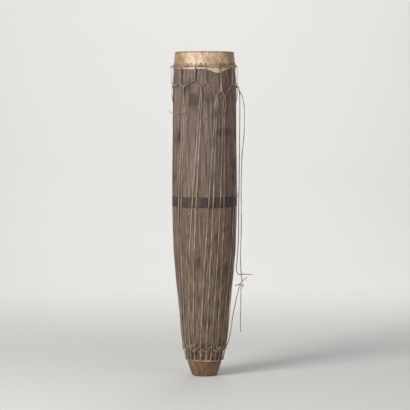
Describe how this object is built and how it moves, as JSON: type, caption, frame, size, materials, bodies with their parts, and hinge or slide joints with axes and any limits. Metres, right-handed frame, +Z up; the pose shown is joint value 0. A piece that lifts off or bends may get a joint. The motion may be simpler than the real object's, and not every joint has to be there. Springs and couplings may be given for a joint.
{
  "type": "laced drum",
  "caption": "Tall slender log drum tapering to a small foot, its playing skin laced to a smaller foot skin by doubled hide thongs and a wavy tuning cord.",
  "frame": {"origin": "centre of the flat face under the foot", "axes": "+Z up the drum to the playing skin, -Y towards the front as pictured"},
  "size_m": [0.2588, 0.2065, 1],
  "materials": {
    "shell_wood": "dark worn wood, dry",
    "upper_skin": "stretched rawhide",
    "lower_skin": "dark rawhide",
    "band": "blackened hide, matt",
    "hide": "dry twisted hide thong"
  },
  "bodies": {
    "root": {"shell": "shell_wood", "upper_head": "upper_skin", "lower_head": "lower_skin", "upper_hoop": "hide", "lower_hoop": "hide", "girth_band": "band", "tuning_cord": "hide", "foot_cord": "hide", "upper_loop_01": "hide", "upper_loop_02": "hide", "upper_loop_03": "hide", "upper_loop_04": "hide", "upper_loop_05": "hide", "upper_loop_06": "hide", "upper_loop_07": "hide", "upper_loop_08": "hide", "upper_loop_09": "hide", "upper_loop_10": "hide", "upper_loop_11": "hide", "upper_loop_12": "hide", "upper_loop_13": "hide", "long_lace_01": "hide", "long_lace_02": "hide", "long_lace_03": "hide", "long_lace_04": "hide", "long_lace_05": "hide", "long_lace_06": "hide", "long_lace_07": "hide", "long_lace_08": "hide", "long_lace_09": "hide", "long_lace_10": "hide", "long_lace_11": "hide", "long_lace_12": "hide", "long_lace_13": "hide", "tuning_knot": "hide", "side_tie": "hide", "hoop_tail": "hide", "tangle_knot": "hide", "loose_lace_outer": "hide", "loose_lace_inner": "hide", "cross_end": "hide", "straight_end": "hide", "curved_end": "hide"}
  },
  "joints": []
}
